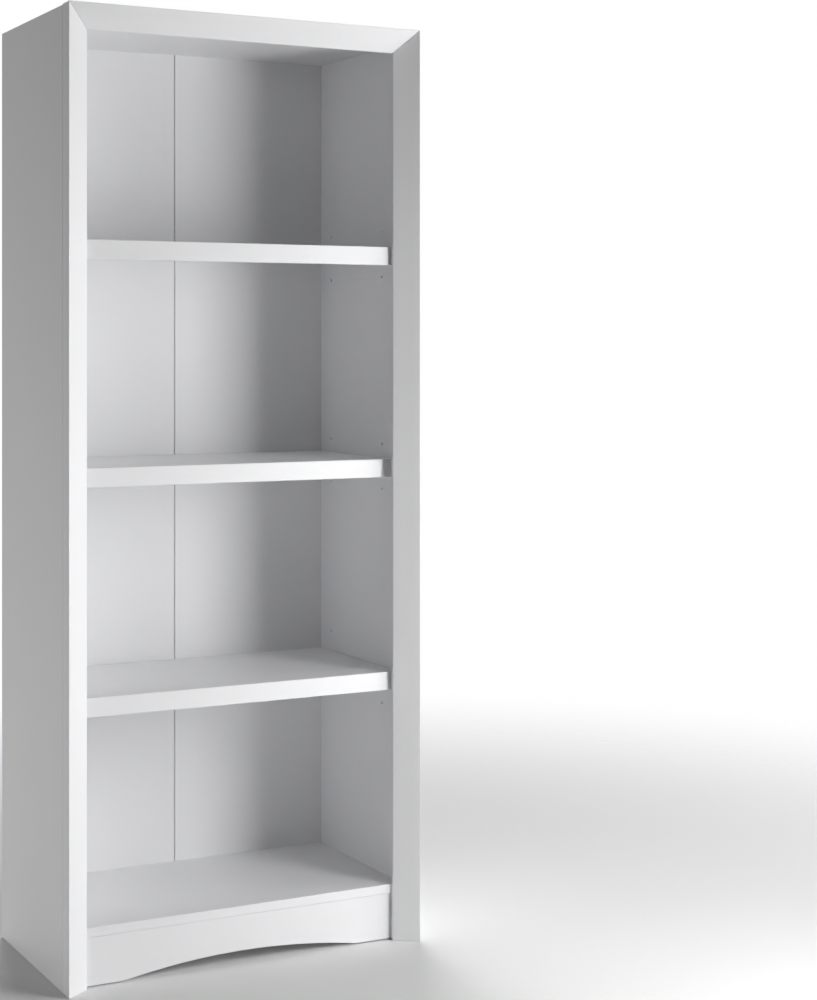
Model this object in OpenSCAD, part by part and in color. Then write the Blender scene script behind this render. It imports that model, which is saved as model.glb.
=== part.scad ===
// Free-standing bookcase with a mitred, bevelled front frame, an arched plinth,
// a two-part back and three shelves that rest on pins.
// Origin: middle of the footprint, on the floor. Front towards -Y, top towards +Z.
// All sizes are in millimetres.

/* [Case] */
// Overall width
case_w = 600; // [500:10:900]
// Overall height, to the top of the front frame
case_h = 1500; // [1400:10:1800]
// Overall depth, front frame included
case_d = 350; // [330:10:420]
// Thickness of the side panels
side_t = 20; // [16:1:24]
// Thickness of the top panel
top_t = 16; // [15:1:22]

/* [Front frame] */
// Face width of the stiles and the top rail
frame_w = 37; // [30:1:50]
// Thickness of the frame moulding at its outer edge
frame_t = 32; // [28:1:40]
// Thickness of the frame moulding at its inner edge
frame_edge = 6; // [4:1:12]
// Height that the top rail stands above the top panel
rail_rise = 2; // [0:0.5:4]

/* [Base] */
// Height of the bottom shelf's upper face above the floor
base_h = 92; // [85:1:120]
// Thickness of the bottom shelf
bottom_t = 15; // [15:1:22]
// Thickness of the plinth board
plinth_t = 15; // [12:1:20]
// Distance from the front edge of the bottom shelf back to the plinth
plinth_setback = 3; // [0:0.5:10]
// Gap between the floor and the plinth's feet
plinth_gap = 2; // [1:0.5:5]
// Width of the arch cut in the plinth
arch_w = 400; // [300:10:420]
// Height of the arch cut in the plinth
arch_rise = 18; // [10:1:40]

/* [Back] */
// Thickness of the back panels
back_t = 3; // [2.5:0.5:4]
// Distance from the rear edge of the case to the back panels
back_inset = 11; // [8:1:20]
// Depth of the groove that holds the back panels
groove_depth = 8; // [5:1:10]

/* [Shelves] */
// Height of the lower shelf's upper face above the floor
first_shelf_h = 442; // [420:1:460]
// Height from one shelf to the next
shelf_pitch = 351; // [330:1:360]
// Thickness of a shelf board
shelf_t = 12; // [12:1:18]
// Height of the lip along a shelf's front edge
lip_h = 30; // [26:1:40]
// Thickness of the lip along a shelf's front edge
lip_t = 15; // [12:1:20]
// Gap between a shelf's end and the side panel
shelf_gap = 3.5; // [1.5:0.5:4]

/* [Shelf pins] */
// Diameter of a shelf pin
pin_d = 4.9; // [4.9:0.1:6.9]
// Step between the pin holes of the middle and top shelves
pin_step = 38; // [32:1:40]
// Step between the pin holes of the lower shelf
lower_pin_step = 48; // [32:1:60]
// Height that the free pin holes of the top shelf are moved up by
top_hole_shift = 6; // [0:1:10]
// Distance from the front of the frame to the front pin holes
pin_front = 99; // [90:1:105]
// Distance from the front pin holes to the rear ones
pin_spread = 195; // [120:1:195]

/* [Hidden] */

$fn = 48;
PAINT = [0.93, 0.93, 0.92];
BOARD = [0.96, 0.96, 0.95];
BEECH = [0.80, 0.66, 0.47];
ZINC = [0.68, 0.69, 0.70];
STEEL = [0.75, 0.75, 0.74];
NYLON = [0.90, 0.90, 0.88];

eps = 0.01;                      // overcut, so that no cut ends flush with a face
fit = 0.05;                      // radial clearance of a pin or dowel in its hole

half_w = case_w / 2;
front_y = -case_d / 2;
rear_y = case_d / 2;
case_y = front_y + frame_t;      // front edge of the panels, behind the frame
inner_x = half_w - side_t;       // inner face of the right side panel
top_z = case_h - rail_rise;      // upper face of the top panel
roof_z = top_z - top_t;          // underside of the top panel
bottom_z = base_h - bottom_t;    // underside of the bottom shelf
back_y = rear_y - back_inset - back_t;   // front face of the back panels
groove_gap = 0.5;                // room left at the bottom of a groove
back_foot = 14;                  // overlap of the back below the bottom shelf's underside

joiner_web = 2;                  // gap between the two back panels
joiner_recess = 2.2;             // depth of the joint in front of the strip's web
joiner_flange = 24;
joiner_t = 1.2;

pin_r = pin_d / 2;
pin_hole_depth = 10;
pin_shank = 9;                   // length of a pin inside its hole
peg_l = 10;                      // length of the thicker end that carries the shelf
peg_r = pin_r + 0.55;
rest_gap = 0.3;                  // air between a pin and the shelf board above it
pin_drop = shelf_t + peg_r + rest_gap;
pin_y = [front_y + pin_front, front_y + pin_front + pin_spread];
shelf_z = [for (i = [0:2]) first_shelf_h + i * shelf_pitch];
shelf_steps = [lower_pin_step, pin_step, pin_step];
hole_shift = [0, 0, top_hole_shift];
shelf_setback = [5, 15, 4];      // behind the frame: lower, middle, top
shelf_play = 1;                  // gap behind the shelf that stands furthest back
shelf_d = back_y - case_y - max(shelf_setback) - shelf_play;

cam_r = 7.5;
cam_h = 12;
cam_reach = 24;                  // centre of a cam from the shelf's end
bolt_r = 3;                      // shank of a cam bolt
bolt_hole_r = 3.5;
thread_r = 2.45;                 // threaded end of a cam bolt
thread_l = 11;
bolt_head_r = 3.2;
bolt_head_l = 3;
fixing_inset = 45;               // first fixing from a panel's edge
dowel_step = 34;                 // dowel beside each fixing
fixing_y = [case_y + fixing_inset, back_y - fixing_inset];
dowel_y = [case_y + fixing_inset + dowel_step, back_y - fixing_inset - dowel_step];
edge_z = bottom_z + bottom_t / 2;        // middle of the bottom shelf's edge
edge_x = half_w - side_t / 2;            // middle of a side panel's edge
dowel_r = 4;
dowel_in_edge = 20;
dowel_in_face = 10;

frame_dowel_r = 3;
frame_dowel_in = 12;             // length inside the moulding
frame_dowel_out = 15;            // length inside the panel's edge
stile_dowel_z = [for (i = [0:4]) 90 + i * (case_h - 180) / 4];
rail_dowel_x = [-0.3 * case_w, 0, 0.3 * case_w];
rail_dowel_z = top_z - top_t / 2;
plinth_dowel_x = [-0.35 * case_w, 0.35 * case_w];
plinth_y = case_y + plinth_setback;      // front face of the plinth
plinth_dowel_y = plinth_y + plinth_t / 2;

screw_r = 3.4;
screw_l = 50;
screw_head_r = 5;
screw_head_h = 4;
socket_r = 2;
socket_h = 3;
cap_r = 6;
cap_rim = 0.6;                   // height of a cap's straight rim
cap_h = 1.5;
cap_top_r = 4.5;
cap_stem = 2.5;

block_l = 36;
block_s = 18;                    // height and depth of a plinth block
block_x = [-case_w / 4, case_w / 4];
block_screw_r = 1.9;
block_screw_l = 28;
block_head_r = 3.8;
block_head_h = 2.4;
block_screw_off = 9;             // screws stand this far either side of the block's middle

nail_r = 0.8;
nail_l = 20;
nail_head_r = 1.8;
nail_head_h = 0.6;
nail_count = 8;
nail_x = [for (i = [0:nail_count - 1]) (i - (nail_count - 1) / 2) * (case_w - 90) / (nail_count - 1)];

// A box between two opposite corners
module span(low, high) {
    translate(low) cube(high - low);
}

// A round bar along X, from x0 to x1
module bar_x(x0, x1, y, z, r) {
    translate([x0, y, z]) rotate([0, 90, 0]) cylinder(h = x1 - x0, r = r);
}

// A round bar along Y, from y0 to y1
module bar_y(x, y0, y1, z, r) {
    translate([x, y0, z]) rotate([-90, 0, 0]) cylinder(h = y1 - y0, r = r);
}

// A round bar along Z, from z0 to z1
module bar_z(x, y, z0, z1, r) {
    translate([x, y, z0]) cylinder(h = z1 - z0, r = r);
}

// The same shape on both sides of the case
module both_sides() {
    children();
    mirror([1, 0, 0]) children();
}

/* ---- Case panels ---- */

// Every pin hole in the right side panel: one in use at each pin, one free above it and one below
module pin_holes() {
    for (i = [0:2], k = [-1:1], y = pin_y)
        bar_x(inner_x - eps, inner_x + pin_hole_depth, y,
              shelf_z[i] - pin_drop + k * shelf_steps[i] + abs(k) * hole_shift[i], pin_r + fit);
}

// The right side panel; the left one is its mirror image
module side_panel() {
    difference() {
        span([inner_x, case_y, 0], [half_w, rear_y, roof_z]);
        span([inner_x - eps, back_y, -eps],
             [inner_x + groove_depth, back_y + back_t, roof_z + eps]);
        pin_holes();
        for (y = fixing_y) {
            bar_x(inner_x - eps, inner_x + thread_l + 1, y, edge_z, thread_r + fit);
            bar_z(edge_x, y, top_z - screw_l - 1, roof_z + eps, screw_r + fit);
        }
        for (y = dowel_y) {
            bar_x(inner_x - eps, inner_x + dowel_in_face + 1, y, edge_z, dowel_r + fit);
            bar_z(edge_x, y, roof_z - dowel_in_edge - 1, roof_z + eps, dowel_r + fit);
        }
        for (z = stile_dowel_z)
            bar_y(edge_x, case_y - eps, case_y + frame_dowel_out + 1, z, frame_dowel_r + fit);
    }
}

module left_side_panel() {
    color(PAINT) mirror([1, 0, 0]) side_panel();
}

module right_side_panel() {
    color(PAINT) side_panel();
}

// The top lies on the side panels and is grooved for the back
module top_panel() {
    color(PAINT) difference() {
        span([-half_w, case_y, roof_z], [half_w, rear_y, top_z]);
        span([-inner_x - groove_depth, back_y, roof_z - eps],
             [inner_x + groove_depth, back_y + back_t, roof_z + groove_depth]);
        both_sides() {
            for (y = fixing_y) {
                bar_z(edge_x, y, roof_z - eps, top_z + eps, screw_r + fit);
                translate([edge_x, y, top_z - screw_head_h])
                    cylinder(h = screw_head_h + eps, r1 = screw_r + fit, r2 = screw_head_r + fit);
            }
            for (y = dowel_y)
                bar_z(edge_x, y, roof_z - eps, roof_z + dowel_in_face + 1, dowel_r + fit);
        }
        for (x = rail_dowel_x)
            bar_y(x, case_y - eps, case_y + frame_dowel_out + 1, rail_dowel_z, frame_dowel_r + fit);
    }
}

// The fixed bottom shelf, drawn tight to the sides by cams let into its underside
module bottom_shelf() {
    color(PAINT) difference() {
        span([-inner_x, case_y, bottom_z], [inner_x, back_y, base_h]);
        both_sides() {
            for (y = fixing_y) {
                bar_z(inner_x - cam_reach, y, bottom_z - eps, bottom_z + cam_h + 0.5, cam_r + fit);
                bar_x(inner_x - cam_reach, inner_x + eps, y, edge_z, bolt_hole_r);
            }
            for (y = dowel_y)
                bar_x(inner_x - dowel_in_edge - 1, inner_x + eps, y, edge_z, dowel_r + fit);
        }
        for (x = plinth_dowel_x)
            bar_z(x, plinth_dowel_y, bottom_z - eps, bottom_z + dowel_in_face + 1, frame_dowel_r + fit);
        for (x = block_x)
            bar_z(x - block_screw_off, plinth_y + plinth_t + block_s / 2, bottom_z - eps,
                  bottom_z + block_screw_l - block_s + 1, block_screw_r + fit);
        for (x = nail_x)
            bar_y(x, back_y - nail_l, back_y + eps, edge_z, nail_r + fit);
    }
}

// Front board under the bottom shelf, with a shallow arch between its two feet
module plinth() {
    arch_r = (pow(arch_w / 2, 2) + pow(arch_rise, 2)) / (2 * arch_rise);
    color(PAINT) difference() {
        span([-inner_x, plinth_y, plinth_gap], [inner_x, plinth_y + plinth_t, bottom_z]);
        translate([0, plinth_y - 1, plinth_gap + arch_rise - arch_r]) rotate([-90, 0, 0])
            cylinder(h = plinth_t + 2, r = arch_r, $fn = 360);
        for (x = plinth_dowel_x)
            bar_z(x, plinth_dowel_y, bottom_z - dowel_in_edge - 1, bottom_z + eps, frame_dowel_r + fit);
        for (x = block_x)
            bar_y(x + block_screw_off, plinth_y + plinth_t - (block_screw_l - block_s) - 1,
                  plinth_y + plinth_t + eps, bottom_z - block_s / 2, block_screw_r + fit);
    }
}

/* ---- Front frame ---- */

// Section of the moulding: full thickness outside, bevelled down to the inner edge
module moulding_section() {
    polygon([[0, 0], [frame_w, frame_t - frame_edge], [frame_w, frame_t], [0, frame_t]]);
}

// The left stile, mitred at its top end
module stile() {
    difference() {
        intersection() {
            translate([-half_w, front_y, 0]) linear_extrude(height = case_h) moulding_section();
            translate([-half_w, rear_y, 0]) rotate([90, 0, 0]) linear_extrude(height = case_d)
                polygon([[0, 0], [frame_w, 0], [frame_w, case_h - frame_w], [0, case_h]]);
        }
        for (z = stile_dowel_z)
            bar_y(-edge_x, case_y - frame_dowel_in - 1, case_y + eps, z, frame_dowel_r + fit);
    }
}

module left_stile() {
    color(PAINT) stile();
}

module right_stile() {
    color(PAINT) mirror([1, 0, 0]) stile();
}

// The rail between the stiles, mitred at both ends
module top_rail() {
    color(PAINT) difference() {
        intersection() {
            translate([-half_w, front_y, case_h]) rotate([0, 90, 0])
                linear_extrude(height = case_w) moulding_section();
            translate([0, rear_y, 0]) rotate([90, 0, 0]) linear_extrude(height = case_d)
                polygon([[-half_w, case_h], [-half_w + frame_w, case_h - frame_w],
                         [half_w - frame_w, case_h - frame_w], [half_w, case_h]]);
        }
        for (x = rail_dowel_x)
            bar_y(x, case_y - frame_dowel_in - 1, case_y + eps, rail_dowel_z, frame_dowel_r + fit);
    }
}

/* ---- Back ---- */

// The right half of the back, held in the grooves and nailed to the bottom shelf
module back_panel() {
    difference() {
        span([joiner_web / 2, back_y, bottom_z - back_foot],
             [inner_x + groove_depth - groove_gap, back_y + back_t, roof_z + groove_depth - groove_gap]);
        for (x = nail_x)
            bar_y(x, back_y - eps, back_y + back_t + eps, edge_z, nail_r + fit);
    }
}

module left_back_panel() {
    color(BOARD) mirror([1, 0, 0]) back_panel();
}

module right_back_panel() {
    color(BOARD) back_panel();
}

// Strip of T section that closes the joint between the two back panels
module back_joiner() {
    low = bottom_z - back_foot;
    rear = back_y + back_t;
    color(NYLON) union() {
        span([-joiner_web / 2, back_y + joiner_recess, low], [joiner_web / 2, rear + joiner_t, roof_z - 1]);
        span([-joiner_flange / 2, rear, low], [joiner_flange / 2, rear + joiner_t, roof_z - 1]);
    }
}

/* ---- Fixings ---- */

// Two blocks that hold the plinth to the bottom shelf
module plinth_blocks() {
    low_y = plinth_y + plinth_t;
    color(NYLON) for (x = block_x) difference() {
        span([x - block_l / 2, low_y, bottom_z - block_s], [x + block_l / 2, low_y + block_s, bottom_z]);
        bar_z(x - block_screw_off, low_y + block_s / 2, bottom_z - block_s - eps,
              bottom_z + eps, block_screw_r + fit);
        bar_y(x + block_screw_off, low_y - eps, low_y + block_s + eps,
              bottom_z - block_s / 2, block_screw_r + fit);
    }
}

// A pan-headed screw that points up, its head's underside at the origin
module pan_screw() {
    cylinder(h = block_screw_l, r = block_screw_r);
    translate([0, 0, -block_head_h]) cylinder(h = block_head_h, r = block_head_r);
}

module block_screws() {
    rear = plinth_y + plinth_t + block_s;
    color(ZINC) for (x = block_x) {
        translate([x - block_screw_off, rear - block_s / 2, bottom_z - block_s]) pan_screw();
        translate([x + block_screw_off, rear, bottom_z - block_s / 2]) rotate([90, 0, 0]) pan_screw();
    }
}

// Cams that pull on the cam bolts, with a slot for the bolt and a cross for the driver
module cam_lock() {
    slot_h = 8;
    cross_w = 1.4;
    cross_l = 8;
    cross_h = 2.2;
    difference() {
        cylinder(h = cam_h, r = cam_r);
        span([0, -bolt_hole_r, bottom_t / 2 - slot_h / 2], [cam_r + 1, bolt_hole_r, bottom_t / 2 + slot_h / 2]);
        bar_x(-bolt_head_r - 1, eps, 0, bottom_t / 2, bolt_hole_r);
        span([-cross_l / 2, -cross_w / 2, -1], [cross_l / 2, cross_w / 2, cross_h]);
        span([-cross_w / 2, -cross_l / 2, -1], [cross_w / 2, cross_l / 2, cross_h]);
    }
}

module cam_locks() {
    color(ZINC) both_sides() for (y = fixing_y)
        translate([inner_x - cam_reach, y, bottom_z]) cam_lock();
}

// Bolts screwed into the side panels, with a headed end inside each cam
module cam_bolts() {
    neck_r = 2;
    head_x = inner_x - cam_reach - bolt_head_l / 2;
    neck_x = head_x + bolt_head_l;
    shank_x = neck_x + 5;
    color(ZINC) both_sides() for (y = fixing_y) {
        bar_x(head_x, neck_x, y, edge_z, bolt_head_r);
        bar_x(neck_x, shank_x, y, edge_z, neck_r);
        bar_x(shank_x, inner_x, y, edge_z, bolt_r);
        bar_x(inner_x, inner_x + thread_l, y, edge_z, thread_r);
    }
}

// Wooden dowels that locate the bottom shelf and the top on the side panels
module case_dowels() {
    color(BEECH) both_sides() for (y = dowel_y) {
        bar_x(inner_x - dowel_in_edge, inner_x + dowel_in_face, y, edge_z, dowel_r);
        bar_z(edge_x, y, roof_z - dowel_in_edge, roof_z + dowel_in_face, dowel_r);
    }
}

// Thinner dowels that hold the frame to the case and the plinth to the bottom shelf
module frame_dowels() {
    color(BEECH) {
        both_sides() for (z = stile_dowel_z)
            bar_y(edge_x, case_y - frame_dowel_in, case_y + frame_dowel_out, z, frame_dowel_r);
        for (x = rail_dowel_x)
            bar_y(x, case_y - frame_dowel_in, case_y + frame_dowel_out, rail_dowel_z, frame_dowel_r);
        for (x = plinth_dowel_x)
            bar_z(x, plinth_dowel_y, bottom_z - dowel_in_edge, bottom_z + dowel_in_face, frame_dowel_r);
    }
}

// Countersunk screws down through the top into the side panels
module top_screws() {
    color(ZINC) both_sides() for (y = fixing_y) difference() {
        union() {
            bar_z(edge_x, y, top_z - screw_l, top_z - screw_head_h, screw_r);
            translate([edge_x, y, top_z - screw_head_h])
                cylinder(h = screw_head_h, r1 = screw_r, r2 = screw_head_r);
        }
        bar_z(edge_x, y, top_z - socket_h, top_z + eps, socket_r);
    }
}

// Caps that hide the screw heads, each with a stem in the screw's socket
module screw_caps() {
    color(NYLON) both_sides() for (y = fixing_y) translate([edge_x, y, top_z]) {
        cylinder(h = cap_rim, r = cap_r);
        translate([0, 0, cap_rim]) cylinder(h = cap_h - cap_rim, r1 = cap_r, r2 = cap_top_r);
        translate([0, 0, -cap_stem]) cylinder(h = cap_stem, r = socket_r - fit);
    }
}

// Nails through the back panels into the rear edge of the bottom shelf
module back_nails() {
    rear = back_y + back_t;
    color(STEEL) for (x = nail_x) {
        bar_y(x, rear - nail_l, rear, edge_z, nail_r);
        bar_y(x, rear, rear + nail_head_h, edge_z, nail_head_r);
    }
}

/* ---- Shelves: 0 is the lower, 1 the middle and 2 the top one ---- */

module shelf_board(i) {
    y = case_y + shelf_setback[i];
    x = inner_x - shelf_gap;
    color(PAINT) span([-x, y + lip_t, shelf_z[i] - shelf_t], [x, y + shelf_d, shelf_z[i]]);
}

module shelf_lip(i) {
    y = case_y + shelf_setback[i];
    x = inner_x - shelf_gap;
    color(PAINT) span([-x, y, shelf_z[i] - lip_h], [x, y + lip_t, shelf_z[i]]);
}

module top_shelf_board() {
    shelf_board(2);
}

module top_shelf_lip() {
    shelf_lip(2);
}

module middle_shelf_board() {
    shelf_board(1);
}

module middle_shelf_lip() {
    shelf_lip(1);
}

module lower_shelf_board() {
    shelf_board(0);
}

module lower_shelf_lip() {
    shelf_lip(0);
}

/* ---- Shelf pins ---- */

// The front and rear pins under a shelf's right end
module pin_pair(i) {
    z = shelf_z[i] - pin_drop;
    color(STEEL) for (y = pin_y) {
        bar_x(inner_x, inner_x + pin_shank, y, z, pin_r);
        bar_x(inner_x - peg_l, inner_x, y, z, peg_r);
    }
}

module left_pin_pair(i) {
    mirror([1, 0, 0]) pin_pair(i);
}

module top_left_pins() {
    left_pin_pair(2);
}

module top_right_pins() {
    pin_pair(2);
}

module middle_left_pins() {
    left_pin_pair(1);
}

module middle_right_pins() {
    pin_pair(1);
}

module lower_left_pins() {
    left_pin_pair(0);
}

module lower_right_pins() {
    pin_pair(0);
}

left_side_panel();
right_side_panel();
top_panel();
bottom_shelf();
plinth();
left_stile();
right_stile();
top_rail();
left_back_panel();
right_back_panel();
back_joiner();
plinth_blocks();
block_screws();
cam_locks();
cam_bolts();
case_dowels();
frame_dowels();
top_screws();
screw_caps();
back_nails();
top_shelf_board();
top_shelf_lip();
middle_shelf_board();
middle_shelf_lip();
lower_shelf_board();
lower_shelf_lip();
top_left_pins();
top_right_pins();
middle_left_pins();
middle_right_pins();
lower_left_pins();
lower_right_pins();
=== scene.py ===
"""Finishes a white bookcase: soft arrises on its boards, turned and threaded fixings, paint, and a studio."""

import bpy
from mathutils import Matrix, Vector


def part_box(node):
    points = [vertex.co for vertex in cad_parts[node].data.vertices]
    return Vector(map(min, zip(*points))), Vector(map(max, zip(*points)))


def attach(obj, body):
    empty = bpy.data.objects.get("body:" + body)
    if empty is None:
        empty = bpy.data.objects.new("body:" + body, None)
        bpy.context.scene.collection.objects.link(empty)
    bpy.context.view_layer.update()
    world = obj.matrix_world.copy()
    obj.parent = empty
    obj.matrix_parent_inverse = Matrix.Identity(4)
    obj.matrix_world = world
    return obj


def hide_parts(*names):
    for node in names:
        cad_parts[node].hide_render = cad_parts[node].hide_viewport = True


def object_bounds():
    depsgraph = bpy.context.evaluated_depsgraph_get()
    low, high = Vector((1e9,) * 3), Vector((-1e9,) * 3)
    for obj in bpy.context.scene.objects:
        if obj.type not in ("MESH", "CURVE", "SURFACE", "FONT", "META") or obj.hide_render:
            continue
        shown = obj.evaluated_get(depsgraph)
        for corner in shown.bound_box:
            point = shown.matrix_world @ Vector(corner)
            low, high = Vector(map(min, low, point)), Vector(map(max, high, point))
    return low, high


bl_info = {
    "name": "White Bookcase",
    "version": (1, 0, 0),
    "blender": (4, 5, 0),
    "location": "View3D > Sidebar > Bookcase",
    "description": "Dresses the fixed frame of a white bookcase with finished boards, shelves and fixings",
    "category": "Object",
}

import math
from collections import namedtuple

import bmesh
import bpy
from bpy.props import FloatProperty, FloatVectorProperty, IntProperty, PointerProperty
from mathutils import Matrix, Vector

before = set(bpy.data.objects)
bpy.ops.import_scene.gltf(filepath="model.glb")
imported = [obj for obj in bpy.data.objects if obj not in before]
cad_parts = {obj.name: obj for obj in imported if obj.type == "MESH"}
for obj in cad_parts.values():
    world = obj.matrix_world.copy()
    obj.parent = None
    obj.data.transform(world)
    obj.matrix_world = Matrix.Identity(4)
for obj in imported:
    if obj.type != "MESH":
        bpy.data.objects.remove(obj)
cad_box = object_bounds()

MM = 0.001
MERGE = 0.001 * MM               # points closer than this are one point
FLAT = math.radians(0.4)         # faces that turn less than this are one flat face
SHARP = math.radians(40)         # edges of a board that turn more than this get an arris
CREASE = math.radians(32)        # edges of a turned part that turn more than this look sharp
TOUCH = 0.1 * MM                 # boards this close to each other meet in a joint
RIM_EDGE = 2 * MM                # edges shorter than this belong to a drilled hole
BROAD = 50 * MM * MM             # a face larger than this belongs to a board, not to a hole

CASE_BOARDS = {
    "left_side": "left_side_panel",
    "right_side": "right_side_panel",
    "top_board": "top_panel",
    "bottom_board": "bottom_shelf",
    "plinth_board": "plinth",
}
FRAME_MOULDINGS = {
    "left_moulding": "left_stile",
    "right_moulding": "right_stile",
    "top_moulding": "top_rail",
}
BACK_SHEETS = {
    "left_hardboard": "left_back_panel",
    "right_hardboard": "right_back_panel",
}
SHELVES = ("top", "middle", "lower")
CASE_NODES = [*CASE_BOARDS.values(), *FRAME_MOULDINGS.values(), *BACK_SHEETS.values()]


class BoardSettings(bpy.types.PropertyGroup):
    """How the boards' edges are softened."""

    arris: FloatProperty(
        name="Arris", description="Width of the rounding along a free edge",
        default=1.0 * MM, min=0, unit="LENGTH")
    joint: FloatProperty(
        name="Joint", description="Width of the rounding where two boards meet",
        default=0.9 * MM, min=0, unit="LENGTH")
    rim: FloatProperty(
        name="Hole rim", description="Width of the rounding round a drilled hole",
        default=0.25 * MM, min=0, unit="LENGTH")
    mitre: FloatProperty(
        name="Mitre", description="Width of the rounding along the mitres of the frame",
        default=1.6 * MM, min=0, unit="LENGTH")
    segments: IntProperty(
        name="Segments", description="Number of faces across a rounding", default=6, min=1)


class FixingSettings(bpy.types.PropertyGroup):
    """Sizes of the turned and threaded parts that their boxes don't give."""

    pin_shank: FloatProperty(
        name="Pin shank", description="Diameter of a shelf pin inside its hole",
        default=4.9 * MM, min=0, unit="LENGTH")
    pin_peg: FloatProperty(
        name="Pin peg", description="Length of the thicker end that carries the shelf",
        default=10 * MM, min=0, unit="LENGTH")
    chamfer: FloatProperty(
        name="Chamfer", description="Chamfer at the ends of pins and dowels",
        default=0.7 * MM, min=0, unit="LENGTH")
    flutes: IntProperty(
        name="Flutes", description="Number of glue flutes round a dowel", default=14, min=3)
    flute_depth: FloatProperty(
        name="Flute depth", description="Depth of a glue flute",
        default=0.3 * MM, min=0, unit="LENGTH")
    coarse_pitch: FloatProperty(
        name="Coarse pitch", description="Pitch of the thread on the screws through the top",
        default=3.0 * MM, min=0, unit="LENGTH")
    fine_pitch: FloatProperty(
        name="Fine pitch", description="Pitch of the thread on cam bolts and block screws",
        default=1.8 * MM, min=0, unit="LENGTH")


class FinishSettings(bpy.types.PropertyGroup):
    """Colours of the finishes."""

    paint: FloatVectorProperty(
        name="Paint", description="Colour of the satin paint on the boards",
        default=(0.91, 0.911, 0.921), subtype="COLOR", min=0, max=1)
    raw_board: FloatVectorProperty(
        name="Raw board", description="Colour of an unpainted board edge",
        default=(0.45, 0.30, 0.17), subtype="COLOR", min=0, max=1)
    hardboard: FloatVectorProperty(
        name="Hardboard", description="Colour of the rough rear face of the back",
        default=(0.24, 0.135, 0.065), subtype="COLOR", min=0, max=1)
    nylon: FloatVectorProperty(
        name="Nylon", description="Colour of the moulded blocks, caps and strip",
        default=(0.82, 0.82, 0.79), subtype="COLOR", min=0, max=1)
    zinc: FloatVectorProperty(
        name="Zinc", description="Colour of the zinc-plated screws, nails and cams",
        default=(0.62, 0.64, 0.67), subtype="COLOR", min=0, max=1)
    nickel: FloatVectorProperty(
        name="Nickel", description="Colour of the nickel-plated shelf pins",
        default=(0.72, 0.70, 0.66), subtype="COLOR", min=0, max=1)
    beech: FloatVectorProperty(
        name="Beech", description="Colour of the raw beech dowels",
        default=(0.62, 0.42, 0.24), subtype="COLOR", min=0, max=1)


class StudioSettings(bpy.types.PropertyGroup):
    """Camera, lights and floor."""

    camera_place: FloatVectorProperty(
        name="Camera", description="Where the camera stands", default=(-1.2376, -3.0093, 0.9835),
        subtype="TRANSLATION", unit="LENGTH")
    camera_turn: FloatProperty(
        name="Camera turn", description="How far the camera turns from looking straight at the front",
        default=math.radians(28.135), subtype="ANGLE", unit="ROTATION")
    lens: FloatProperty(
        name="Lens", description="Focal length", default=70.52, unit="CAMERA", min=1)
    drop: FloatProperty(
        name="Drop", description="How far the lens is shifted down", default=0.1559)
    lamps: FloatProperty(
        name="Lamps", description="Share of each lamp's power", default=1.0, min=0, subtype="FACTOR")
    backdrop: FloatProperty(
        name="Backdrop", description="Brightness of the white that the camera sees behind",
        default=1.0, min=0)
    reflected: FloatProperty(
        name="Reflected", description="Brightness of the white that shows in reflections",
        default=0.6, min=0)
    floor: FloatVectorProperty(
        name="Floor", description="Colour of the floor",
        default=(0.9, 0.9, 0.9), subtype="COLOR", min=0, max=1)
    floor_near: FloatProperty(
        name="Solid floor", description="Distance out to which the floor is solid",
        default=0.7, min=0, unit="LENGTH")
    floor_far: FloatProperty(
        name="Faded floor", description="Distance at which the floor has faded into the backdrop",
        default=2.4, min=0, unit="LENGTH")


# ---- Shader maths ----

class Value:
    """A number in a material, on which + - * < > build Math nodes."""

    def __init__(self, finish, socket):
        self.finish = finish
        self.socket = socket

    def math(self, operation, first, second=0.0):
        node = self.finish.node("ShaderNodeMath", {"operation": operation}, {0: first, 1: second})
        return Value(self.finish, node.outputs[0])

    def __add__(self, other):
        return self.math("ADD", self, other)

    def __radd__(self, other):
        return self.math("ADD", other, self)

    def __rsub__(self, other):
        return self.math("SUBTRACT", other, self)

    def __mul__(self, other):
        return self.math("MULTIPLY", self, other)

    def __rmul__(self, other):
        return self.math("MULTIPLY", other, self)

    def __gt__(self, other):
        return self.math("GREATER_THAN", self, other)

    def __lt__(self, other):
        return self.math("LESS_THAN", self, other)


class Tree:
    """A node tree to which nodes are added in one way."""

    def __init__(self, tree):
        self.nodes = tree.nodes
        self.links = tree.links

    def node(self, kind, settings=None, sockets=None):
        """Adds a node: its settings come first, then the values or links of its sockets."""
        node = self.nodes.new(kind)
        for name, value in (settings or {}).items():
            setattr(node, name, value)
        for name, value in (sockets or {}).items():
            self.feed(node.inputs[name], value)
        return node

    def feed(self, socket, value):
        """Links a socket or a Value, or sets a plain number or colour."""
        if isinstance(value, Value):
            value = value.socket
        if isinstance(value, bpy.types.NodeSocket):
            self.links.new(value, socket)
        else:
            socket.default_value = value


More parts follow.
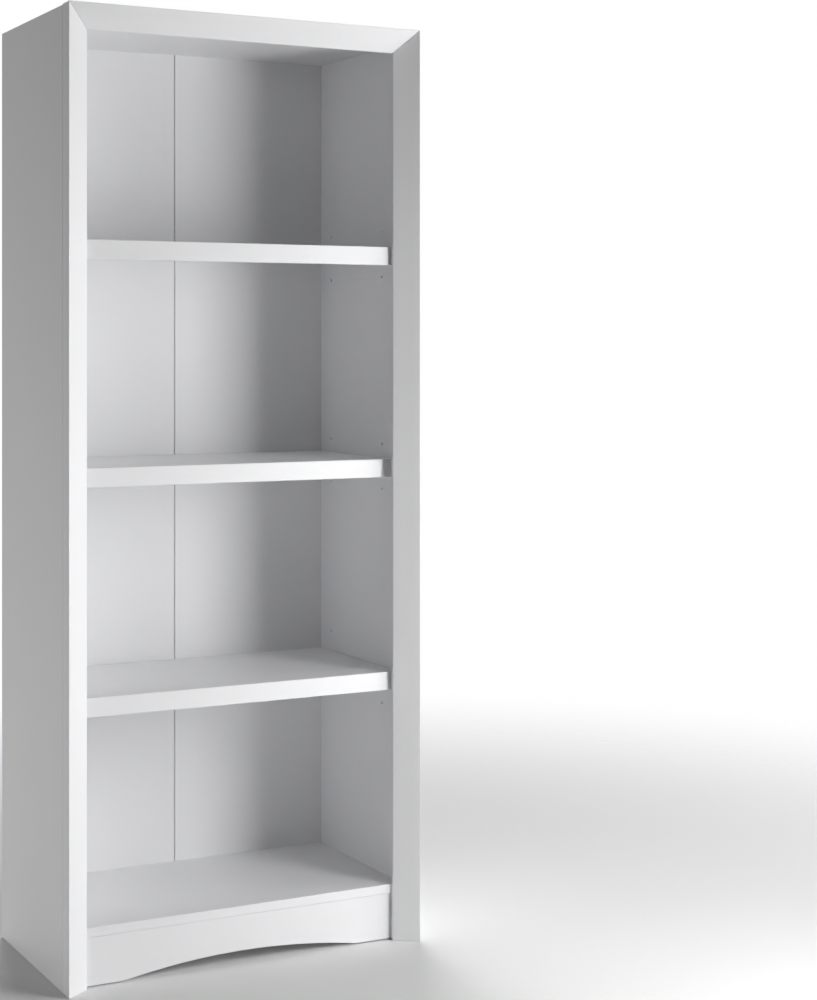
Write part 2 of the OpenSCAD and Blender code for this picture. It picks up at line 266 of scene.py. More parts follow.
class Finish(Tree):
    """A material whose nodes are added one call at a time."""

    def __init__(self, name, **constants):
        self.material = bpy.data.materials.new(name)
        self.material.use_nodes = True
        super().__init__(self.material.node_tree)
        self.shader = self.nodes["Principled BSDF"]
        for socket, value in constants.items():
            self.shader.inputs[socket.replace("_", " ")].default_value = value

    def coordinates(self, scale=(1, 1, 1), turn=(0, 0, 0)):
        """The place of a point on the piece, in metres, stretched and turned."""
        source = self.node("ShaderNodeTexCoord").outputs["Object"]
        mapping = {"Vector": source, "Scale": scale, "Rotation": turn}
        return self.node("ShaderNodeMapping", {}, mapping).outputs["Vector"]

    def noise(self, scale, detail=2.0, roughness=0.5, at=None):
        """Soft noise from 0 to 1, with about one blotch per 1/scale metres."""
        sockets = {"Vector": at or self.coordinates(), "Scale": scale,
                   "Detail": detail, "Roughness": roughness}
        return Value(self, self.node("ShaderNodeTexNoise", {}, sockets).outputs["Fac"])

    def facing(self):
        """The X, Y and Z of the direction that a point on the piece faces."""
        normal = self.node("ShaderNodeTexCoord").outputs["Normal"]
        parts = self.node("ShaderNodeSeparateXYZ", {}, {"Vector": normal}).outputs
        return [Value(self, part) for part in parts]

    def blend(self, share, first, second):
        """A colour that goes from first to second as share goes from 0 to 1."""
        colours = {"Factor": share, 6: first, 7: second}
        return self.node("ShaderNodeMix", {"data_type": "RGBA"}, colours).outputs[2]

    def bump(self, height, depth, strength):
        """A bump of that depth in metres, where height goes from 0 to 1."""
        sockets = {"Strength": strength, "Distance": depth, "Height": height}
        return self.node("ShaderNodeBump", {}, sockets).outputs["Normal"]

    def use(self, **sockets):
        """Feeds the shader's sockets and gives the finished material."""
        for name, value in sockets.items():
            self.feed(self.shader.inputs[name.replace("_", " ")], value)
        return self.material


def solid(colour):
    return (*colour, 1.0)


def scaled(colour, share):
    return solid([share * part for part in colour])


# ---- Finishes ----

def satin_paint(finishes):
    """Satin paint on board: sprayed faces with a faint orange peel, raw edges at the rear and underneath."""
    finish = Finish("satin_paint", Specular_IOR_Level=0.45)
    tone = finish.noise(5.0, 3.0)
    painted = finish.blend(tone, scaled(finishes.paint, 0.975), scaled(finishes.paint, 1.0))
    chips = finish.noise(1400.0, 3.0, 0.7)
    raw = finish.blend(chips, scaled(finishes.raw_board, 0.6), scaled(finishes.raw_board, 1.25))
    facing_x, facing_y, facing_z = finish.facing()
    place = finish.node("ShaderNodeSeparateXYZ", {}, {"Vector": finish.coordinates()}).outputs
    rear_edge = (facing_y > 0.8) * (Value(finish, place[1]) > cad_box[1].y - 0.5 * MM)
    foot = (facing_z < -0.8) * (Value(finish, place[2]) < 0.5 * MM)
    bare = finish.node("ShaderNodeMath", {"operation": "MAXIMUM"}, {0: rear_edge, 1: foot}).outputs[0]
    bare = Value(finish, bare)
    peel = finish.noise(650.0, 1.0)
    dust = finish.noise(60.0, 4.0, 0.6)
    roughness = 0.36 + 0.08 * dust + bare * 0.4
    height = peel + chips * bare * 3.0
    return finish.use(
        Base_Color=finish.blend(bare, painted, raw),
        Roughness=roughness,
        Normal=finish.bump(height, 0.012 * MM, 0.6),
    )


def screened_hardboard(finishes):
    """Hardboard: white and smooth in front, brown with the print of a wire screen behind."""
    finish = Finish("screened_hardboard", Specular_IOR_Level=0.4)
    tone = finish.noise(4.0, 3.0)
    white = finish.blend(tone, scaled(finishes.paint, 0.96), scaled(finishes.paint, 0.99))
    fibres = finish.noise(260.0, 5.0, 0.65)
    brown = finish.blend(fibres, scaled(finishes.hardboard, 0.65), scaled(finishes.hardboard, 1.4))
    rear = finish.facing()[1] > 0.2
    weave = []
    for turn in (math.radians(45), math.radians(-45)):
        wave = {"Vector": finish.coordinates(turn=(0, turn, 0)), "Scale": 100.0, "Distortion": 0.4}
        node = finish.node("ShaderNodeTexWave", {"bands_direction": "X"}, wave)
        weave.append(Value(finish, node.outputs["Fac"]))
    screen = weave[0] * weave[1] + fibres * 0.5
    peel = finish.noise(500.0, 1.0)
    height = rear * screen * 8.0 + (1.0 - rear) * peel
    return finish.use(
        Base_Color=finish.blend(rear, white, brown),
        Roughness=0.42 + rear * 0.38 + 0.06 * tone,
        Normal=finish.bump(height, 0.012 * MM, 0.7),
    )


def frosted_nylon(finishes):
    """Milky nylon with the fine frosting of a spark-eroded mould."""
    finish = Finish("frosted_nylon", Specular_IOR_Level=0.5, Subsurface_Weight=0.08, Subsurface_Scale=1 * MM)
    frost = finish.noise(2600.0, 2.0)
    cloud = finish.noise(90.0, 2.0)
    return finish.use(
        Base_Color=finish.blend(cloud, scaled(finishes.nylon, 0.95), scaled(finishes.nylon, 1.0)),
        Roughness=0.4 + 0.12 * frost,
        Normal=finish.bump(frost, 0.01 * MM, 0.5),
    )


def zinc_plate(finishes):
    """Zinc-plated steel: a cold grey with soft spangles and fine scratches."""
    finish = Finish("zinc_plate", Metallic=1.0)
    spangle = finish.noise(900.0, 3.0, 0.6)
    scratch = finish.noise(400.0, 4.0, 0.7, finish.coordinates(scale=(1, 1, 14)))
    dull = scaled(finishes.zinc, 0.82)
    return finish.use(
        Base_Color=finish.blend(spangle, dull, solid(finishes.zinc)),
        Roughness=0.3 + 0.22 * spangle,
        Normal=finish.bump(scratch, 0.008 * MM, 0.6),
    )


def nickel_plate(finishes):
    """Nickel-plated steel turned on a lathe: bright, with fine rings along the pin."""
    finish = Finish("nickel_plate", Metallic=1.0)
    wave = {"Vector": finish.coordinates(), "Scale": 900.0, "Distortion": 0.8, "Detail": 1.0}
    rings = Value(finish, finish.node("ShaderNodeTexWave", {"bands_direction": "X"}, wave).outputs["Fac"])
    haze = finish.noise(500.0, 3.0, 0.6)
    return finish.use(
        Base_Color=finish.blend(haze, scaled(finishes.nickel, 0.9), solid(finishes.nickel)),
        Roughness=0.2 + 0.14 * haze,
        Normal=finish.bump(rings, 0.006 * MM, 0.5),
    )


def beech(finishes, axis):
    """Raw beech whose grain runs along one axis: fine pores, short dark flecks and paler growth rings."""
    finish = Finish("beech_" + "xyz"[axis], Specular_IOR_Level=0.35)
    along = [1.0] * 3
    along[axis] = 0.07
    grain = finish.noise(900.0, 4.0, 0.65, finish.coordinates(scale=along))
    flecks = finish.noise(1500.0, 1.0, 0.5, finish.coordinates(scale=[2.0 * part for part in along])) > 0.66
    rings = finish.noise(160.0, 2.0, 0.5, finish.coordinates(scale=along))
    wood = finish.blend(grain * 0.6 + rings * 0.4, scaled(finishes.beech, 0.8), scaled(finishes.beech, 1.15))
    return finish.use(
        Base_Color=finish.blend(flecks * 0.55, wood, scaled(finishes.beech, 0.4)),
        Roughness=0.62 + 0.15 * grain,
        Normal=finish.bump(grain, 0.03 * MM, 0.7),
    )


# ---- Boards ----

def merged_copy(node):
    """A copy of a CAD node's mesh with its loose triangles merged into flat faces."""
    bm = bmesh.new()
    bm.from_mesh(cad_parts[node].data)
    bmesh.ops.remove_doubles(bm, verts=bm.verts, dist=MERGE)
    bmesh.ops.dissolve_limit(bm, angle_limit=FLAT, verts=bm.verts, edges=bm.edges)
    return bm


def touches(edge, boxes):
    """Whether the middle of an edge lies in or on one of the boxes."""
    middle = (edge.verts[0].co + edge.verts[1].co) / 2
    return any(
        all(low[i] - TOUCH < middle[i] < high[i] + TOUCH for i in range(3))
        for low, high in boxes
    )


def weigh_edges(bm, arris, joint, rim, neighbours):
    """Gives each sharp outward edge its share of the arris, and marks the other sharp edges."""
    boxes = [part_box(other) for other in neighbours]
    weight = bm.edges.layers.float.new("bevel_weight_edge")
    for edge in bm.edges:
        if not edge.is_manifold or edge.calc_face_angle() < SHARP:
            continue
        broad = [face.calc_area() > BROAD for face in edge.link_faces]
        if not edge.is_convex or not any(broad):
            edge.smooth = False
        elif edge.calc_length() < RIM_EDGE:
            edge[weight] = rim / arris
        elif touches(edge, boxes):
            edge[weight] = joint / arris
        else:
            edge[weight] = 1.0
        if edge[weight] == 0:
            edge.smooth = False
    for face in bm.faces:
        face.smooth = face.calc_area() < BROAD


def softened_board(name, node, boards, material, slot, body, arris=None, joint=None, neighbours=CASE_NODES):
    """A board with rounded arrises that stands for its CAD node."""
    bm = merged_copy(node)
    others = [other for other in neighbours if other != node]
    arris = boards.arris if arris is None else arris
    joint = boards.joint if joint is None else joint
    weigh_edges(bm, arris, joint, boards.rim, others)
    piece = finished(name, bm, [material], slot, body, node)
    bevel = piece.modifiers.new("arris", "BEVEL")
    bevel.limit_method = "WEIGHT"
    bevel.width = arris
    bevel.segments = boards.segments
    bevel.profile = 0.5
    bevel.material = -1
    bevel.use_clamp_overlap = False
    return piece


def finished(name, bm, materials, slot, body, *nodes):
    """Makes a bmesh a piece that rides on a body and stands for CAD nodes."""
    mesh = bpy.data.meshes.new(name)
    bm.to_mesh(mesh)
    bm.free()
    for material in materials:
        mesh.materials.append(material)
    piece = bpy.data.objects.new(name, mesh)
    bpy.context.scene.collection.objects.link(piece)
    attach(piece, body)
    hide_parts(*nodes)
    for node in nodes:
        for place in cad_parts[node].material_slots:
            place.material = materials[0]
    return piece


def made_once(make, finishes):
    """The material that a function makes under its own name, made the first time it is asked for."""
    return bpy.data.materials.get(make.__name__) or make(finishes)


class BOOKCASE_OT_case(bpy.types.Operator):
    """Finish the sides, top, bottom shelf and plinth"""

    bl_idname = "bookcase.case"
    bl_label = "Case boards"

    def execute(self, context):
        scene = context.scene
        paint = made_once(satin_paint, scene.bookcase_finishes)
        for name, node in CASE_BOARDS.items():
            softened_board(name, node, scene.bookcase_boards, paint, "white_paint", "case")
        return {"FINISHED"}


class BOOKCASE_OT_front_frame(bpy.types.Operator):
    """Finish the mitred stiles and the top rail"""

    bl_idname = "bookcase.front_frame"
    bl_label = "Front frame"

    def execute(self, context):
        scene = context.scene
        paint = made_once(satin_paint, scene.bookcase_finishes)
        boards = scene.bookcase_boards
        for name, node in FRAME_MOULDINGS.items():
            softened_board(name, node, boards, paint, "white_paint", "case", joint=boards.mitre)
        return {"FINISHED"}


class BOOKCASE_OT_back(bpy.types.Operator):
    """Finish the two back panels and the strip behind their joint"""

    bl_idname = "bookcase.back"
    bl_label = "Back"

    def execute(self, context):
        scene = context.scene
        sheet = made_once(screened_hardboard, scene.bookcase_finishes)
        nylon = made_once(frosted_nylon, scene.bookcase_finishes)
        boards = scene.bookcase_boards
        for name, node in BACK_SHEETS.items():
            softened_board(name, node, boards, sheet, "white_hardboard", "case",
                           arris=boards.rim, joint=boards.rim)
        softened_board("joint_strip", "back_joiner", boards, nylon, "white_nylon", "case",
                       arris=boards.rim, joint=boards.rim)
        return {"FINISHED"}


class BOOKCASE_OT_shelves(bpy.types.Operator):
    """Finish the three loose shelves, each a board with a glued lip"""

    bl_idname = "bookcase.shelves"
    bl_label = "Shelves"

    def execute(self, context):
        scene = context.scene
        paint = made_once(satin_paint, scene.bookcase_finishes)
        boards = scene.bookcase_boards
        for shelf in SHELVES:
            pair = [f"{shelf}_shelf_board", f"{shelf}_shelf_lip"]
            for name, node in zip((f"{shelf}_shelf_panel", f"{shelf}_shelf_edge"), pair):
                softened_board(name, node, boards, paint, "white_paint", f"{shelf}_shelf",
                               joint=0, neighbours=pair)
        return {"FINISHED"}


# ---- Turned and threaded parts: each is made standing on the origin, along Z ----

def turned(outline, segments=32):
    """A solid turned about Z from (height, radius) points; an end that stops short of Z stays open."""
    bm = bmesh.new()
    verts = [bm.verts.new((radius, 0, height)) for height, radius in outline]
    edges = [bm.edges.new(pair) for pair in zip(verts, verts[1:])]
    bmesh.ops.spin(bm, geom=verts + edges, cent=(0, 0, 0), axis=(0, 0, 1),
                   angle=math.tau, steps=segments, use_merge=True)
    bmesh.ops.remove_doubles(bm, verts=bm.verts, dist=MERGE)
    bmesh.ops.recalc_face_normals(bm, faces=bm.faces)
    return bm


def dome(low, high, radius, steps=8):
    """Outline points of a domed end, from its rim at one height to its middle at another."""
    turns = [math.pi / 2 * step / steps for step in range(steps + 1)]
    return [(low + (high - low) * math.sin(turn), radius * math.cos(turn)) for turn in turns]


def wind_thread(bm, core, crest, pitch, low, high, turn_steps=16):
    """Winds a thread ridge round a core; both its ends run out into the core."""
    root = core * 0.97
    half_base = 0.32 * pitch
    heights = (low - half_base, low, low + half_base)
    section = [bm.verts.new((radius, 0, height)) for radius, height in zip((root, crest, root), heights)]
    edges = [bm.edges.new((section[i - 1], section[i])) for i in range(3)]
    turns = (high - low) / pitch
    steps = round(turns * turn_steps)
    wound = bmesh.ops.spin(bm, geom=section + edges, cent=(0, 0, 0), axis=(0, 0, 1),
                           dvec=(0, 0, (high - low) / steps), angle=math.tau * turns, steps=steps)
    for vert in bm.verts:
        height = vert.co.z
        if vert.co.xy.length > crest - MERGE and low - MERGE < height < high + MERGE:
            grown = min(1, 0.02 + 2 * min(height - low, high - height) / pitch)
            vert.co.xy *= (root + (crest - root) * grown) / crest
    last = [part for part in wound["geom_last"] if isinstance(part, bmesh.types.BMVert)]
    for end in (section, last):
        middle = sum((vert.co for vert in end), Vector()) / 3
        bmesh.ops.pointmerge(bm, verts=end, merge_co=middle)
    bmesh.ops.recalc_face_normals(bm, faces=bm.faces)


def cut_recess(bm, corners, depth):
    """Closes the open end of a turned head with a recess of that outline, cut downwards from the end."""
    rim = [edge for edge in bm.edges if edge.is_boundary]
    height = rim[0].verts[0].co.z
    verts = [bm.verts.new((x, y, height)) for x, y in corners]
    outline = [bm.edges.new((verts[i - 1], verts[i])) for i in range(len(verts))]
    bmesh.ops.bridge_loops(bm, edges=rim + outline)
    floor = bmesh.ops.contextual_create(bm, geom=outline)["faces"]
    sunk = bmesh.ops.extrude_face_region(bm, geom=floor)["geom"]
    moved = [part for part in sunk if isinstance(part, bmesh.types.BMVert)]
    bmesh.ops.delete(bm, geom=[face for face in floor if face.is_valid], context="FACES_ONLY")
    bmesh.ops.translate(bm, verts=moved, vec=(0, 0, depth))
    bmesh.ops.scale(bm, verts=moved, vec=(0.85, 0.85, 1))
    bmesh.ops.recalc_face_normals(bm, faces=bm.faces)


def hexagon(radius):
    return [(radius * math.cos(i * math.tau / 6), radius * math.sin(i * math.tau / 6)) for i in range(6)]


def cross(reach, half_width):
    """Corners of a cross, round its outline."""
    arm = [(reach, -half_width), (reach, half_width), (half_width, half_width)]
    turns = [Matrix.Rotation(i * math.pi / 2, 2) for i in range(4)]
    return [tuple(turn @ Vector(corner)) for turn in turns for corner in arm]


def shelf_pin(length, radius, fixings):
    """A stepped pin: a thick peg that carries the shelf, a waist at the wall and a shank with a lead-in."""
    shank = fixings.pin_shank / 2
    peg = fixings.pin_peg
    ease = 0.3 * MM
    ring = 0.12 * MM
    outline = [(height, r) for height, r in reversed(dome(0.6 * MM, 0, radius))]
    outline += [(peg * 0.5 - ease, radius), (peg * 0.5, radius - ring), (peg * 0.5 + ease, radius)]
    outline += [(peg - ease, radius), (peg, radius - ease), (peg, shank - ring)]
    outline += [(peg + 2 * ease, shank - ring), (peg + 3 * ease, shank), (length - fixings.chamfer, shank)]
    outline += [(length, shank - fixings.chamfer), (length, 0)]
    return turned(outline)


def dowel(length, radius, fixings):
    """A wooden dowel with glue flutes along it and chamfered ends."""
    per_flute = 4
    tip = radius - fixings.chamfer
    outline = [(0, 0), (0, tip), (fixings.chamfer, radius)]
    outline += [(length - fixings.chamfer, radius), (length, tip), (length, 0)]
    segments = fixings.flutes * per_flute
    bm = turned(outline, segments)
    for vert in bm.verts:
        place = round(math.atan2(vert.co.y, vert.co.x) / math.tau * segments)
        if vert.co.xy.length > radius - MERGE and place % per_flute == 0:
            vert.co.xy *= (radius - fixings.flute_depth) / radius
    return bm


def top_screw(length, radius, fixings):
    """A countersunk screw with a hexagon socket and a coarse thread below a plain neck."""
    shank = 0.68 * radius
    core = 0.7 * shank
    head, neck, tip = 4 * MM, 10 * MM, 2 * MM
    outline = [(0, 0.56 * radius), (0, 0.96 * radius), (0.3 * MM, radius), (head, shank), (neck, shank)]
    outline += [(neck + 1 * MM, core), (length - tip, core), (length, 0.4 * core), (length, 0)]
    bm = turned(outline)
    cut_recess(bm, hexagon(2.35 * MM), 2.9 * MM)
    wind_thread(bm, core, shank, fixings.coarse_pitch, neck + 3 * MM, length - tip)
    return bm


def pan_screw(length, radius, fixings):
    """A pan-headed screw with a cross recess and a fine thread to its point."""
    head = 2.4 * MM
    shank = radius / 2
    core = 0.68 * shank
    tip = 4 * MM
    outline = [(0.05 * MM, 0.62 * radius), (0.35 * MM, 0.82 * radius), (1.0 * MM, 0.95 * radius)]
    outline += [(1.7 * MM, radius), (head - 0.1 * MM, radius), (head, 0.97 * radius), (head, shank)]
    outline += [(head + 3 * MM, shank), (head + 3.6 * MM, core), (length - tip, core), (length, 0)]
    bm = turned(outline)
    cut_recess(bm, cross(0.5 * radius, 0.11 * radius), 1.5 * MM)
    wind_thread(bm, core, shank, fixings.fine_pitch, head + 4.5 * MM, length - tip)
    return bm


def cam_bolt(length, radius, fixings):
    """A cam bolt: a headed neck for the cam, a plain shank, and a thread that bites in the side panel."""
    head, neck, thread = 3 * MM, 8 * MM, 11 * MM
    shank = 0.93 * radius
    crest = 0.76 * radius
    core = 0.7 * crest
    wall = length - thread
    outline = [(0, 0.6 * radius), (0.5 * MM, 0.9 * radius), (1.2 * MM, radius), (2.2 * MM, radius)]
    outline += [(head, 0.62 * radius), (neck - 1 * MM, 0.62 * radius), (neck, shank)]
    outline += [(wall - 0.6 * MM, shank), (wall, 0.9 * shank), (wall, core)]
    outline += [(length - 2.5 * MM, core), (length, 0.15 * core), (length, 0)]
    bm = turned(outline)
    cut_recess(bm, cross(0.48 * radius, 0.13 * radius), 1.2 * MM)
    wind_thread(bm, core, crest, fixings.fine_pitch, wall + 1 * MM, length - 2.5 * MM)
    return bm


def back_nail(length, radius, fixings):
    """A flat-headed panel nail with ring marks under its head and a cut point."""
    head = 0.6 * MM
    shank = 0.8 * MM
    ring = 0.07 * MM
    outline = [(height, r) for height, r in reversed(dome(0.25 * MM, 0, radius, 4))]
    outline += [(head - 0.1 * MM, radius), (head, 0.94 * radius), (head, shank)]
    for i in range(1, 5):
        mark = head + i * 0.7 * MM
        outline += [(mark - ring, shank), (mark, shank - ring), (mark + ring, shank)]
    outline += [(length - 2.4 * MM, shank), (length, 0)]
    return turned(outline, 24)


def screw_cap(length, radius, fixings):
    """A domed cap on a stem."""
    stem, seat = 1.95 * MM, length - 1.5 * MM
    outline = [(0, 0), (0, stem - 0.3 * MM), (0.3 * MM, stem), (seat, stem), (seat, radius - 0.1 * MM)]
    outline += [(seat + 0.1 * MM, radius)]
    return turned(outline + dome(seat + 0.5 * MM, length, radius), 48)


def solid_boxes(node):
    """Lowest and highest corner of each separate solid of a CAD node, in a fixed order."""
    bm = merged_copy(node)
    boxes = []
    seen = set()
    for seed in bm.verts:
        if seed in seen:
            continue
        seen.add(seed)
        solid_verts = [seed]
        for vert in solid_verts:
            fresh = [edge.other_vert(vert) for edge in vert.link_edges]
            fresh = [other for other in fresh if other not in seen]
            seen.update(fresh)
            solid_verts += fresh
        places = [vert.co for vert in solid_verts]
        low = Vector([min(place[i] for place in places) for i in range(3)])
        high = Vector([max(place[i] for place in places) for i in range(3)])
        boxes.append((low, high))
    bm.free()
    return sorted(boxes, key=lambda box: tuple(round(part, 6) for part in box[0]))


def gathered(node, make, fixings, heading, axis=None):
    """One bmesh with a part for each solid of a CAD node, as long and as thick as its box.

    heading gives 1 or -1, the way the part points along its axis, from the solid's middle and axis.
    """
    whole = bmesh.new()
    for low, high in solid_boxes(node):
        size = high - low
        along = max(range(3), key=lambda i: size[i]) if axis is None else axis
        middle = (low + high) / 2
        direction = Vector([heading(middle, along) if i == along else 0 for i in range(3)])
        thickness = max(size[i] for i in range(3) if i != along)
        part = make(size[along], thickness / 2, fixings)
        mark_creases(part)
        for face in part.faces:
            face.material_index = along
        mesh = bpy.data.meshes.new("part")
        part.to_mesh(mesh)
        part.free()
        first = len(whole.verts)
        whole.from_mesh(mesh)
        bpy.data.meshes.remove(mesh)
        whole.verts.ensure_lookup_table()
        turn = direction.to_track_quat("Z", "Y").to_matrix().to_4x4()
        place = Matrix.Translation(middle - direction * size[along] / 2)
        bmesh.ops.transform(whole, matrix=place @ turn, verts=whole.verts[first:])
    return whole


def mark_creases(bm):
    """Shades a turned part smooth, but for its creases."""
    for edge in bm.edges:
        if edge.is_manifold and edge.calc_face_angle() > CREASE:
            edge.smooth = False
    for face in bm.faces:
        face.smooth = True


def outward(middle, along):
    """Points away from the middle of the case."""
    return 1 if middle[along] > 0 else -1


def downward(middle, along):
    return -1


def forward(middle, along):
    """Points up where it stands, and to the front where it lies."""
    return 1 if along == 2 else -1


def upward(middle, along):
    return 1


def fixing_piece(name, node, make, heading, materials, slot, body="case", axis=None):
    """A piece made of one turned part for each solid of its CAD node.

    materials has one for each axis that a part may lie along.
    """
    fixings = bpy.context.scene.bookcase_fixings
    whole = gathered(node, make, fixings, heading, axis)
    return finished(name, whole, materials, slot, body, node)


class BOOKCASE_OT_shelf_pins(bpy.types.Operator):
    """Turn the shelf pins, two at each end of a shelf"""

    bl_idname = "bookcase.shelf_pins"
    bl_label = "Shelf pins"

    def execute(self, context):
        nickel = [made_once(nickel_plate, context.scene.bookcase_finishes)] * 3
        for shelf in SHELVES:
            for side in ("left", "right"):
                body = f"{shelf}_{side}_pins"
                name = f"{shelf}_{side}_turned_pins"
                fixing_piece(name, body, shelf_pin, outward, nickel, "nickel", body)
        return {"FINISHED"}


class BOOKCASE_OT_top_screws(bpy.types.Operator):
    """Make the screws through the top and the caps over them"""

    bl_idname = "bookcase.top_screws"
    bl_label = "Top screws and caps"

    def execute(self, context):
        finishes = context.scene.bookcase_finishes
        zinc = made_once(zinc_plate, finishes)
        nylon = made_once(frosted_nylon, finishes)
        fixing_piece("threaded_top_screws", "top_screws", top_screw, downward, [zinc] * 3, "zinc")
        fixing_piece("domed_caps", "screw_caps", screw_cap, upward, [nylon] * 3, "white_nylon", axis=2)
        return {"FINISHED"}


class BOOKCASE_OT_cams(bpy.types.Operator):
    """Make the cam locks under the bottom shelf and their bolts"""

    bl_idname = "bookcase.cams"
    bl_label = "Cam locks and bolts"

    def execute(self, context):
        scene = context.scene
        zinc = made_once(zinc_plate, scene.bookcase_finishes)
        boards = scene.bookcase_boards
        softened_board("cast_cams", "cam_locks", boards, zinc, "zinc", "case",
                       arris=boards.rim, joint=boards.rim)
        fixing_piece("threaded_cam_bolts", "cam_bolts", cam_bolt, outward, [zinc] * 3, "zinc")
        return {"FINISHED"}


class BOOKCASE_OT_dowels(bpy.types.Operator):
    """Make the fluted dowels in the case and behind the frame"""

    bl_idname = "bookcase.dowels"
    bl_label = "Dowels"

    def execute(self, context):
        finishes = context.scene.bookcase_finishes
        woods = [beech(finishes, axis) for axis in range(3)]
        fixing_piece("fluted_case_dowels", "case_dowels", dowel, upward, woods, "beech")
        fixing_piece("fluted_frame_dowels", "frame_dowels", dowel, upward, woods, "beech")
        return {"FINISHED"}


class BOOKCASE_OT_plinth_blocks(bpy.types.Operator):
    """Make the blocks behind the plinth and their screws"""

    bl_idname = "bookcase.plinth_blocks"
    bl_label = "Plinth blocks and screws"

    def execute(self, context):
        scene = context.scene
        nylon = made_once(frosted_nylon, scene.bookcase_finishes)
        zinc = made_once(zinc_plate, scene.bookcase_finishes)
        boards = scene.bookcase_boards
        softened_board("moulded_blocks", "plinth_blocks", boards, nylon, "white_nylon", "case")
        fixing_piece("threaded_block_screws", "block_screws", pan_screw, forward, [zinc] * 3, "zinc")
        return {"FINISHED"}


class BOOKCASE_OT_back_nails(bpy.types.Operator):
    """Make the nails through the back into the bottom shelf"""

    bl_idname = "bookcase.back_nails"
    bl_label = "Back nails"

    def execute(self, context):
        zinc = made_once(zinc_plate, context.scene.bookcase_finishes)
        fixing_piece("headed_nails", "back_nails", back_nail, forward, [zinc] * 3, "zinc")
        return {"FINISHED"}


# ---- Studio ----

# turn is in degrees to the right of the front, the sizes are in metres and the power in watts
Lamp = namedtuple("Lamp", "turn distance place_z aim_z width height power")
LAMPS = {
    "key_lamp": Lamp(28, 3.0, 2.4, 0.75, 0.66, 1.12, 4.0),
    "middle_lamp": Lamp(33, 1.5, 1.0, 0.8, 0.45, 0.8, 5.0),
    "near_lamp": Lamp(33, 1.5, 0.6, 0.6, 0.45, 1.1, 7.4),
    "right_lamp": Lamp(60, 3.0, 1.0, 0.75, 1.2, 1.8, 41.0),
    "low_lamp": Lamp(-30, 1.6, 0.35, 0.75, 0.35, 0.6, 1.2),
    "left_lamp": Lamp(-116.5, 3.35, 0.5, 0.5, 1.5, 1.0, 29.5),
    "rear_lamp": Lamp(160, 2.4, 3.2, 1.2, 1.5, 1.5, 70.0),
}


def set_lamp(name, lamp, share):
    """A soft rectangular light that the camera doesn't see, aimed at a height over the origin."""
    data = bpy.data.lights.new(name, "AREA")
    data.shape = "RECTANGLE"
    data.size = lamp.width
    data.size_y = lamp.height
    data.energy = lamp.power * share
    turn = math.radians(lamp.turn)
    light = bpy.data.objects.new(name, data)
    light.location = (lamp.distance * math.sin(turn), -lamp.distance * math.cos(turn), lamp.place_z)
    heading = Vector((0, 0, lamp.aim_z)) - light.location
    light.rotation_euler = heading.to_track_quat("-Z", "Y").to_euler()
    light.visible_camera = False
    bpy.context.scene.collection.objects.link(light)


def floor_finish(studio):
    """Matt floor with a faint mottle, which fades away with distance."""
    finish = Finish("studio_floor", Specular_IOR_Level=0.1, Roughness=0.9)
    mottle = finish.noise(3.0, 3.0)
    place = {0: finish.coordinates()}
    away = finish.node("ShaderNodeVectorMath", {"operation": "LENGTH"}, place).outputs["Value"]
    reach = {"Value": away, "From Min": studio.floor_near, "From Max": studio.floor_far,
             "To Min": 1.0, "To Max": 0.0}
    fade = finish.node("ShaderNodeMapRange", {"interpolation_type": "SMOOTHSTEP"}, reach)
    return finish.use(
        Base_Color=finish.blend(mottle, scaled(studio.floor, 0.985), solid(studio.floor)),
        Alpha=fade.outputs["Result"],
    )


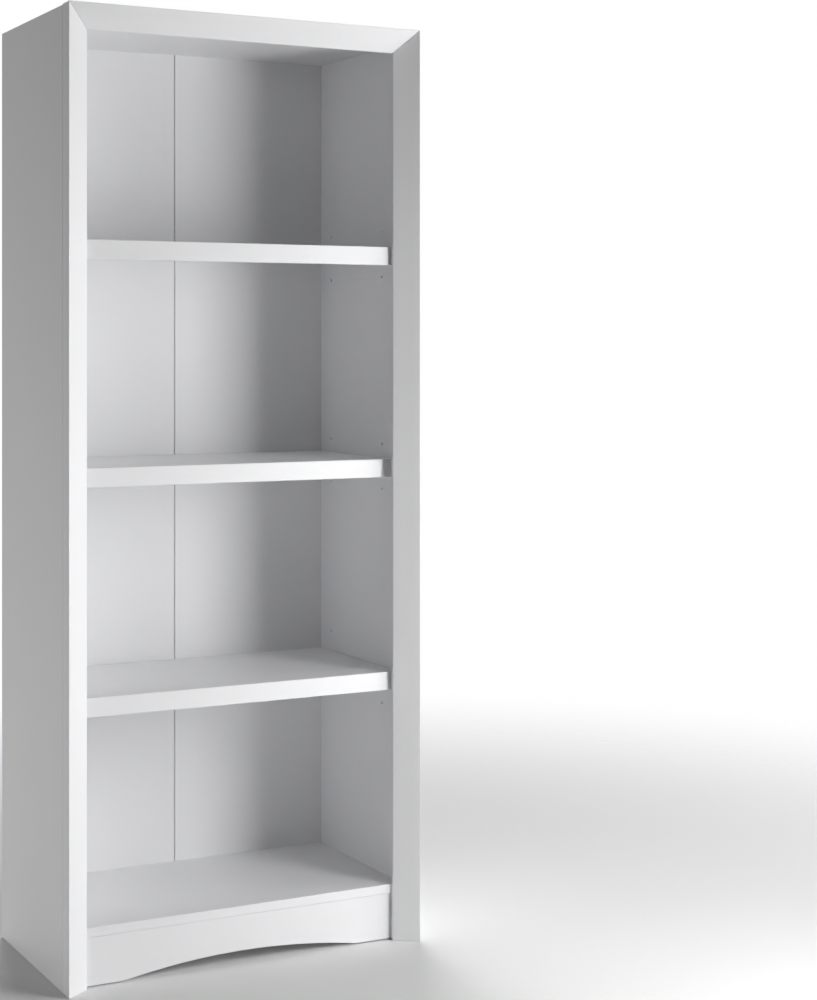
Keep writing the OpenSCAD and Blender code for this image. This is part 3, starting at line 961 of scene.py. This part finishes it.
class BOOKCASE_OT_studio(bpy.types.Operator):
    """Set the floor, the backdrop, the lamps and the camera"""

    bl_idname = "bookcase.studio"
    bl_label = "Studio"

    def execute(self, context):
        scene = context.scene
        studio = scene.bookcase_studio

        bm = bmesh.new()
        bmesh.ops.create_circle(bm, cap_ends=True, radius=studio.floor_far, segments=96)
        mesh = bpy.data.meshes.new("studio_floor")
        bm.to_mesh(mesh)
        bm.free()
        mesh.materials.append(floor_finish(studio))
        ground = bpy.data.objects.new("studio_floor", mesh)
        scene.collection.objects.link(ground)

        world = bpy.data.worlds.new("studio")
        world.use_nodes = True
        tree = Tree(world.node_tree)
        rays = tree.node("ShaderNodeLightPath").outputs
        seen = Value(tree, rays["Is Camera Ray"]) * studio.backdrop
        mirrored = Value(tree, rays["Is Glossy Ray"]) * studio.reflected
        background = tree.nodes["Background"]
        tree.feed(background.inputs["Color"], solid((1, 1, 1)))
        tree.feed(background.inputs["Strength"], seen + mirrored)
        scene.world = world
        scene.view_settings.view_transform = "Standard"

        for name, lamp in LAMPS.items():
            set_lamp(name, lamp, studio.lamps)

        data = bpy.data.cameras.new("camera")
        data.sensor_width = 36
        data.lens = studio.lens
        data.shift_y = -studio.drop
        camera = bpy.data.objects.new("camera", data)
        camera.location = studio.camera_place
        camera.rotation_euler = (math.radians(90), 0, -studio.camera_turn)
        scene.collection.objects.link(camera)
        scene.camera = camera
        return {"FINISHED"}


OPERATORS = (
    BOOKCASE_OT_case,
    BOOKCASE_OT_front_frame,
    BOOKCASE_OT_back,
    BOOKCASE_OT_shelves,
    BOOKCASE_OT_shelf_pins,
    BOOKCASE_OT_top_screws,
    BOOKCASE_OT_cams,
    BOOKCASE_OT_dowels,
    BOOKCASE_OT_plinth_blocks,
    BOOKCASE_OT_back_nails,
    BOOKCASE_OT_studio,
)


class BOOKCASE_PT_steps(bpy.types.Panel):
    """Lists the steps that finish the bookcase."""

    bl_label = "Bookcase"
    bl_space_type = "VIEW_3D"
    bl_region_type = "UI"
    bl_category = "Bookcase"

    def draw(self, context):
        for operator in OPERATORS:
            self.layout.operator(operator.bl_idname)


SETTINGS = {
    "bookcase_boards": BoardSettings,
    "bookcase_fixings": FixingSettings,
    "bookcase_finishes": FinishSettings,
    "bookcase_studio": StudioSettings,
}


def register():
    for group in (*SETTINGS.values(), *OPERATORS, BOOKCASE_PT_steps):
        bpy.utils.register_class(group)
    for name, group in SETTINGS.items():
        setattr(bpy.types.Scene, name, PointerProperty(type=group))


def unregister():
    for name in SETTINGS:
        delattr(bpy.types.Scene, name)
    for group in reversed((*SETTINGS.values(), *OPERATORS, BOOKCASE_PT_steps)):
        bpy.utils.unregister_class(group)


def main():
    register()
    for operator in OPERATORS:
        category, name = operator.bl_idname.split(".")
        getattr(getattr(bpy.ops, category), name)()


if __name__ == "__main__":
    main()
